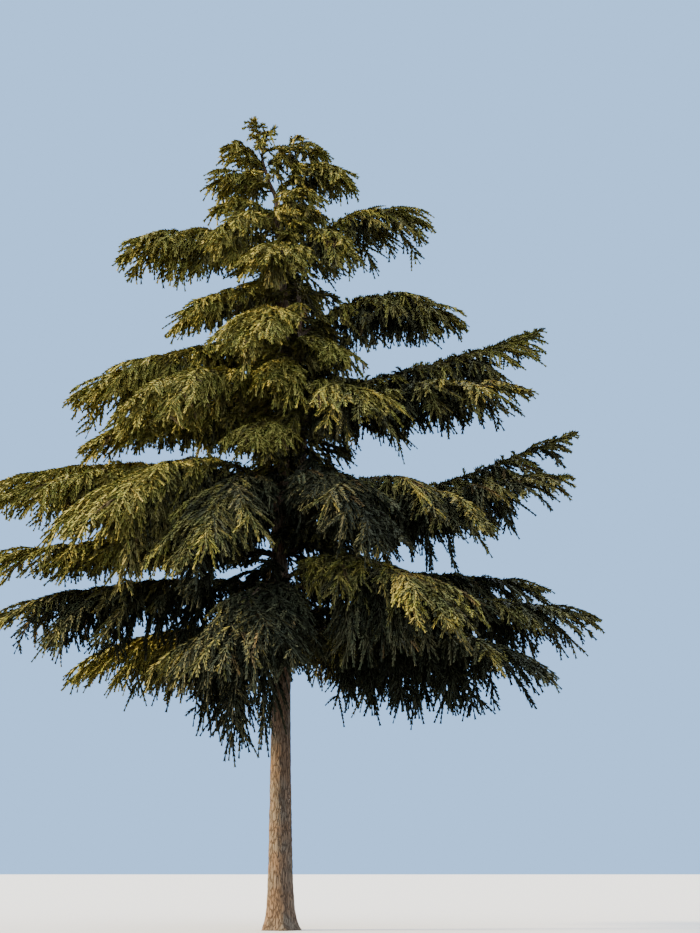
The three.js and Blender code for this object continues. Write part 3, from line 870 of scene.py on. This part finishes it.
def crest_of(limb, owner):
    """Short shoots that lean forward along the whole top of a limb."""
    count = round(limb.length * CREST_RUN / CREST_SPACING)
    share = CREST_FROM + CREST_RUN * (np.arange(count) + random.random(count)) / count
    side = random.normal(0, CREST_SPREAD, (2, count))
    lift = CREST_LIFT + CREST_LIFT_SPAN * random.random(count)
    way = unit(CREST_FORWARD * limb.tangents(share) + np.stack((*side, lift), -1))
    return Growth(
        limb.points(share),
        way,
        unit(np.cross(way, NEARLY_UPRIGHT)),
        CREST_LENGTH * uneven(random, count) * (CREST_FULL - CREST_FADE * share),
        np.full(count, CREST_DROOP),
        np.full(count, CREST_RADIUS),
        np.full(count, owner),
        CREST_LIGHT + CREST_LIGHT_SPREAD * random.normal(size=count),
        np.zeros(count),
    )


side_shoots = shoots_on(twigs, SHOOT_SPACING, SHOOT_TURN, side_length, SHOOT_FALL, SHOOT_DROOP)
side_shoots = side_shoots.chosen(is_free(side_shoots.end(), side_shoots.owner))
inner_twigs = twigs.chosen(twigs.open_end < FRINGE_UNTIL)
fringe = shoots_on(
    inner_twigs, FRINGE_SPACING, FRINGE_TURN, fringe_length, FRINGE_FALL, FRINGE_DROOP
)
fringe = fitted(fringe, FRINGE_SIZES)
crests = Growth.joined(*(crest_of(limb, owner) for owner, limb in enumerate(limbs)))
crests = crests.chosen(is_free(crests.end(), crests.owner))
shoots = Growth.joined(side_shoots, fringe, crests)


def wood_of(growth, sides, rings):
    """Corners and faces of one thin tapering tube for every twig or shoot."""
    count = len(growth.length)
    angles = 2 * np.pi * np.arange(sides) / sides
    corners = []
    for share in np.linspace(0, 1, rings + 1)[:-1]:
        run = growth.tangent(np.full(count, share))
        level = unit(np.cross(run, growth.across + NUDGE))
        other = np.cross(run, level)
        middle = growth.point(np.full(count, share))
        radius = (growth.radius * (1 - WOOD_TAPER * share))[:, None]
        for angle in angles:
            corners.append(middle + radius * (np.cos(angle) * level + np.sin(angle) * other))
    corners.append(growth.end())
    per = len(corners)
    faces = []
    for ring in range(rings - 1):
        for side in range(sides):
            a, b = ring * sides + side, ring * sides + (side + 1) % sides
            faces += [(a, b, b + sides), (a, b + sides, a + sides)]
    last = (rings - 1) * sides
    faces += [(last + side, last + (side + 1) % sides, per - 1) for side in range(sides)]
    corners = np.stack(corners, 1).reshape(-1, 3)
    faces = (np.arange(count)[:, None, None] * per + np.array(faces)).reshape(-1, 3)
    return corners, faces


def woven_piece(name, corners, faces, materials, tones=None):
    """Arrays of corners and three-cornered faces as one piece of the tree."""
    mesh = bpy.data.meshes.new(name)
    mesh.vertices.add(len(corners))
    mesh.vertices.foreach_set("co", corners.astype(np.float32).ravel())
    mesh.loops.add(3 * len(faces))
    mesh.loops.foreach_set("vertex_index", faces.astype(np.int32).ravel())
    mesh.polygons.add(len(faces))
    mesh.polygons.foreach_set("loop_start", np.arange(0, 3 * len(faces), 3, dtype=np.int32))
    for material in materials:
        mesh.materials.append(material)
    if tones is not None:
        mesh.polygons.foreach_set("material_index", tones.astype(np.int32))
    mesh.update()
    piece = bpy.data.objects.new(name, mesh)
    bpy.context.scene.collection.objects.link(piece)
    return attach(piece, "root")


TWIG_BARK = bark_material("twig_bark", TWIG_FLAKES_PER_METRE, TWIG_BUMP, TWIG_BROWN, TWIG_GREY)
for name, growth, rings in (("twigs", twigs, TWIG_RINGS), ("shoots", shoots, SHOOT_RINGS)):
    wood = woven_piece(name, *wood_of(growth, WOOD_SIDES, rings), [TWIG_BARK])

# The needles stand along every shoot in tufts of three, left, right and below it,
# that all point forward: the shoot is a toothed blade with a low keel. They are
# stiff and olive green, with one tone to a spray, and the tones are painted light
# and shade: paler at the growing ends as painted light.
TUFT_SPACING = 0.08
TUFT_FOOT = 0.12
TUFT_REACH = 0.05
TUFT_REACH_FACTORS = (0.8, 1.2)
TUFT_FORWARD = 0.1
TUFT_FORWARD_LEAST = 0.3
TUFT_FORWARD_PER_SIZE = 0.7
# The angle about the shoot of each blade of a tuft, and how far it varies
TUFT_ROLLS = ((28, 14), (152, 14), (270, 20))
TUFT_FIRST = 0.4
TUFT_SIZE = 1.2
TUFT_SHRINKING = 0.8
TUFT_SHRINKING_POWER = 1.5
TUFT_SIZE_LEAST = 0.85
TUFT_SIZE_SPAN = 0.3
LEAFY_FROM_ON_SHOOTS = 0.04
LEAFY_FROM_ON_TWIGS = 0.2
# Lit and shaded copies of one olive green, each a low and a high: painted shade in the first two,
# painted light in the next two; the last is the real brown of dry sprays
NEEDLE_TONES = [
    ("needles_shaded", (0.018, 0.022, 0.011, 1), (0.031, 0.033, 0.016, 1)),
    ("needles_deep", (0.051, 0.059, 0.028, 1), (0.088, 0.083, 0.039, 1)),
    ("needles_olive", (0.103, 0.109, 0.033, 1), (0.172, 0.149, 0.047, 1)),
    ("needles_young", (0.159, 0.164, 0.034, 1), (0.255, 0.216, 0.052, 1)),
    ("needles_dry", (0.090, 0.066, 0.028, 1), (0.140, 0.100, 0.042, 1)),
]
NEEDLE_MOTTLE = (9, 3)
NEEDLE_PATCHES = (3.2, 2)
MOTTLE_RANGE = (0.8, 1.2)
NEEDLE_ROUGHNESS = (0.72, 0.5)
NEEDLE_SHEEN = 0.1
# What paints a spray paler, as painted light, by its place in the crown: out at the
# rim, on the sunny side and high up; and the steps from one tone to the next
RIM_PAINTED_LIGHT = 0.35
SUN_PAINTED_LIGHT = 0.4
SUNNY_SIDE = (-1, -0.2)
SUN_REACH = 3
HEIGHT_PAINTED_LIGHT = 0.055
MIDDLE_HEIGHT = 8
TONE_STEPS = (0.2, 0.48, 0.84)
DRY_SHARE = 0.01
# How much painted shade darkens a limb's needles, as deep as it lies in the shade
# of the tiers above it. One below 0 gets painted light, as standing in the open
SHADE = {
    "dome_front": 0.75,
    "skirt_front_left": 0.65,
    "skirt_front": 0.7,
    "skirt_front_right": -0.25,
    "skirt_left": 0.65,
    "skirt_low_left": 0.45,
    "skirt_low_right": 0.1,
    "curtain_front": 0.6,
    "low_fork_left": 0.2,
    "long_heart_right": 0.3,
    "middle_heart": -0.25,
    "middle_front_left": -0.3,
    "middle_left": -0.3,
    "middle_low_left": -0.2,
    "shoulder_front": -0.15,
    "upper_left": -0.15,
}
# Each piece of needles, and how the names of its limbs begin
TIERS = {
    "crown": ("crown", "upper", "shoulder"),
    "middle": ("middle",),
    "long_front": ("long_left", "long_heart", "long_right", "long_fork"),
    "long_back": ("long_back",),
    "curtain": ("low", "curtain", "dome"),
    "skirt_front": ("skirt_front", "skirt_low"),
    "skirt_sides": ("skirt_left", "skirt_right", "skirt_high"),
    "skirt_back": ("skirt_back",),
}


def needle_finish():
    """Needles of one tone: a mottle between two close greens, with a waxy mark."""
    group = bpy.data.node_groups.new("needle_finish", "ShaderNodeTree")
    group.interface.new_socket(name="Place", in_out="INPUT", socket_type="NodeSocketVector")
    colour_socket(group, "Low", (0, 0, 0, 1))
    colour_socket(group, "High", (1, 1, 1, 1))
    group.interface.new_socket(name="Colour", in_out="OUTPUT", socket_type="NodeSocketColor")
    number_socket(group, "Roughness", NEEDLE_ROUGHNESS[0], "OUTPUT")
    nodes, link = group.nodes, group.links.new
    given, given_out = nodes.new("NodeGroupInput"), nodes.new("NodeGroupOutput")
    mottle = noise_node(nodes, *NEEDLE_MOTTLE)
    link(given.outputs["Place"], mottle.inputs["Vector"])
    patches = noise_node(nodes, *NEEDLE_PATCHES)
    link(given.outputs["Place"], patches.inputs["Vector"])
    both = nodes.new("ShaderNodeMath")
    link(mottle.outputs["Fac"], both.inputs[0])
    link(patches.outputs["Fac"], both.inputs[1])
    share = range_node(nodes, MOTTLE_RANGE)
    link(both.outputs["Value"], share.inputs["Value"])
    colour = blend_node(nodes)
    link(share.outputs["Result"], colour.inputs["Factor"])
    link(given.outputs["Low"], colour.inputs["A"])
    link(given.outputs["High"], colour.inputs["B"])
    wax = range_node(nodes, made=NEEDLE_ROUGHNESS)
    link(share.outputs["Result"], wax.inputs["Value"])
    link(colour.outputs["Result"], given_out.inputs["Colour"])
    link(wax.outputs["Result"], given_out.inputs["Roughness"])
    return group


NEEDLE_FINISH = needle_finish()


def needle_material(name, low, high):
    """One tone of needles, from its darkest to its palest green."""
    material = bpy.data.materials.new(name)
    material.use_nodes = True
    nodes, link = material.node_tree.nodes, material.node_tree.links.new
    shader = nodes["Principled BSDF"]
    shader.inputs["Specular IOR Level"].default_value = NEEDLE_SHEEN
    place = nodes.new("ShaderNodeTexCoord")
    finish = nodes.new("ShaderNodeGroup")
    finish.node_tree = NEEDLE_FINISH
    finish.inputs["Low"].default_value = low
    finish.inputs["High"].default_value = high
    link(place.outputs["Object"], finish.inputs["Place"])
    link(finish.outputs["Colour"], shader.inputs["Base Color"])
    link(finish.outputs["Roughness"], shader.inputs["Roughness"])
    return material


needle_materials = [needle_material(*tone) for tone in NEEDLE_TONES]
dry_tone = len(NEEDLE_TONES) - 1


def dealt_tones(growth):
    """The number of each spray's tone: a paler one where it is given more painted light."""
    place = growth.end()
    out = np.linalg.norm(place[:, :2], axis=1)
    reach = np.array([np.hypot(*limb.tip[:2]) for limb in limbs])[growth.owner]
    # Painted light and painted shade: the score picks a paler or darker copy of the green
    score = growth.light + RIM_PAINTED_LIGHT * (np.clip(out / reach, 0, 1) - 0.5)
    score += SUN_PAINTED_LIGHT * np.clip(place[:, :2] @ SUNNY_SIDE / SUN_REACH, -1, 1)
    score += HEIGHT_PAINTED_LIGHT * (place[:, 2] - MIDDLE_HEIGHT)
    score -= np.array([SHADE.get(limb.name, 0) for limb in limbs])[growth.owner]
    dry = random.random(len(growth.length)) < DRY_SHARE
    return np.where(dry, dry_tone, np.digitize(score, TONE_STEPS))


def tufts_on(growth, first_share):
    """Middle, run, size, tone and owner of every tuft along the twigs or shoots."""
    leafy = growth.length * (1 - first_share)
    counts = np.maximum(1, np.round(leafy / TUFT_SPACING)).astype(int)
    host, order = hosts_of(counts)
    share = first_share + (1 - first_share) * (order + TUFT_FIRST) / counts[host]
    carrier = growth.chosen(host)
    size = TUFT_SIZE - TUFT_SHRINKING * share**TUFT_SHRINKING_POWER
    size = size * (TUFT_SIZE_LEAST + TUFT_SIZE_SPAN * random.random(len(host)))
    return carrier.point(share), carrier.run(share), size, dealt_tones(growth)[host], carrier.owner


shoot_tufts = tufts_on(shoots, LEAFY_FROM_ON_SHOOTS)
twig_tufts = tufts_on(twigs, LEAFY_FROM_ON_TWIGS)
middles, runs, sizes, tones, owners = (
    np.concatenate(pair) for pair in zip(shoot_tufts, twig_tufts)
)


def needles_of(which):
    """Corners, faces and tones of the tufts chosen."""
    middle, run, size = middles[which], runs[which], sizes[which][:, None]
    side = unit(np.cross(run, NEARLY_UPRIGHT))
    rise = unit(np.cross(side, run))
    corners = [middle - TUFT_FOOT / 2 * run, middle + TUFT_FOOT / 2 * run]
    for roll, variation in TUFT_ROLLS:
        angle = np.radians(roll + variation * random.uniform(-1, 1, len(middle)))[:, None]
        reach = TUFT_REACH * random.uniform(*TUFT_REACH_FACTORS, len(middle))[:, None]
        out = np.cos(angle) * side + np.sin(angle) * rise
        forward = (TUFT_FORWARD_LEAST + TUFT_FORWARD_PER_SIZE * size) * TUFT_FORWARD * run
        corners.append(middle + size * reach * out + forward)
    per = len(corners)
    corners = np.stack(corners, 1).reshape(-1, 3)
    tuft = np.array([(0, 1, tip) for tip in range(2, per)])
    faces = np.arange(len(middle))[:, None, None] * per + tuft
    return corners, faces.reshape(-1, 3), np.repeat(tones[which], len(TUFT_ROLLS))


for tier, names in TIERS.items():
    members = [owner for owner, limb in enumerate(limbs) if limb.name.startswith(names)]
    corners, faces, face_tones = needles_of(np.isin(owners, members))
    needles = woven_piece(f"needles_{tier}", corners, faces, needle_materials, face_tones)
    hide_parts(*(f"foliage_{limbs[owner].name}" for owner in members))

# The studio is a plain floor, a pale blue surround, one large soft light low on
# the left, and a camera low in front of the tree that looks up at it. The floor
# is pale to the camera only, so it throws little light up into the crown.
FLOOR_REACH = 300
FLOOR_ROUGHNESS = 0.9
FLOOR_SEEN = (0.6, 0.6, 0.58, 1)
FLOOR_THROWN = (0.1, 0.1, 0.1, 1)
FILL_BLUE = (0.77, 0.85, 1.0, 1)
FILL_STRENGTH = 3.0
BACKDROP_BLUE = (0.34, 0.60, 1.0, 1)
BACKDROP_STRENGTH = 1.5
KEY_STRENGTH = 15
KEY_WIDTH = 8
KEY_WARMTH = (1.0, 0.79, 0.46)
KEY_FROM_UPRIGHT = 67
KEY_ROUND = -84
CAMERA_PLACE = (1.36, -29.7, 1.15)
CAMERA_TILT = 105.5
CAMERA_LENS = 56
CAMERA_SENSOR = 36
CAMERA_SIGHT = 1000
ground = bmesh.new()
bmesh.ops.create_grid(ground, x_segments=1, y_segments=1, size=FLOOR_REACH)
ground_mesh = bpy.data.meshes.new("floor")
ground.to_mesh(ground_mesh)
ground.free()
floor_paint = bpy.data.materials.new("floor_paint")
floor_paint.use_nodes = True
nodes, link = floor_paint.node_tree.nodes, floor_paint.node_tree.links.new
nodes["Principled BSDF"].inputs["Roughness"].default_value = FLOOR_ROUGHNESS
seen = nodes.new("ShaderNodeLightPath")
paint = blend_node(nodes)
paint.inputs["A"].default_value = FLOOR_THROWN
paint.inputs["B"].default_value = FLOOR_SEEN
link(seen.outputs["Is Camera Ray"], paint.inputs["Factor"])
link(paint.outputs["Result"], nodes["Principled BSDF"].inputs["Base Color"])
ground_mesh.materials.append(floor_paint)
floor = bpy.data.objects.new("floor", ground_mesh)
bpy.context.scene.collection.objects.link(floor)

surround = bpy.data.worlds.new("pale_surround")
surround.use_nodes = True
nodes, link = surround.node_tree.nodes, surround.node_tree.links.new
fill = nodes["Background"]
fill.inputs["Color"].default_value = FILL_BLUE
fill.inputs["Strength"].default_value = FILL_STRENGTH
backdrop = nodes.new("ShaderNodeBackground")
backdrop.inputs["Color"].default_value = BACKDROP_BLUE
backdrop.inputs["Strength"].default_value = BACKDROP_STRENGTH
seen = nodes.new("ShaderNodeLightPath")
either = nodes.new("ShaderNodeMixShader")
link(seen.outputs["Is Camera Ray"], either.inputs["Fac"])
link(fill.outputs["Background"], either.inputs[1])
link(backdrop.outputs["Background"], either.inputs[2])
link(either.outputs["Shader"], nodes["World Output"].inputs["Surface"])
bpy.context.scene.world = surround

key = bpy.data.lights.new("soft_key", "SUN")
key.energy = KEY_STRENGTH
key.angle = math.radians(KEY_WIDTH)
key.color = KEY_WARMTH
key_light = bpy.data.objects.new("soft_key", key)
key_light.rotation_euler = (math.radians(KEY_FROM_UPRIGHT), 0, math.radians(KEY_ROUND))
bpy.context.scene.collection.objects.link(key_light)

lens = bpy.data.cameras.new("camera")
lens.lens = CAMERA_LENS
lens.sensor_width = CAMERA_SENSOR
lens.clip_end = CAMERA_SIGHT
camera = bpy.data.objects.new("camera", lens)
camera.location = CAMERA_PLACE
camera.rotation_euler = (math.radians(CAMERA_TILT), 0, 0)
bpy.context.scene.collection.objects.link(camera)
bpy.context.scene.camera = camera
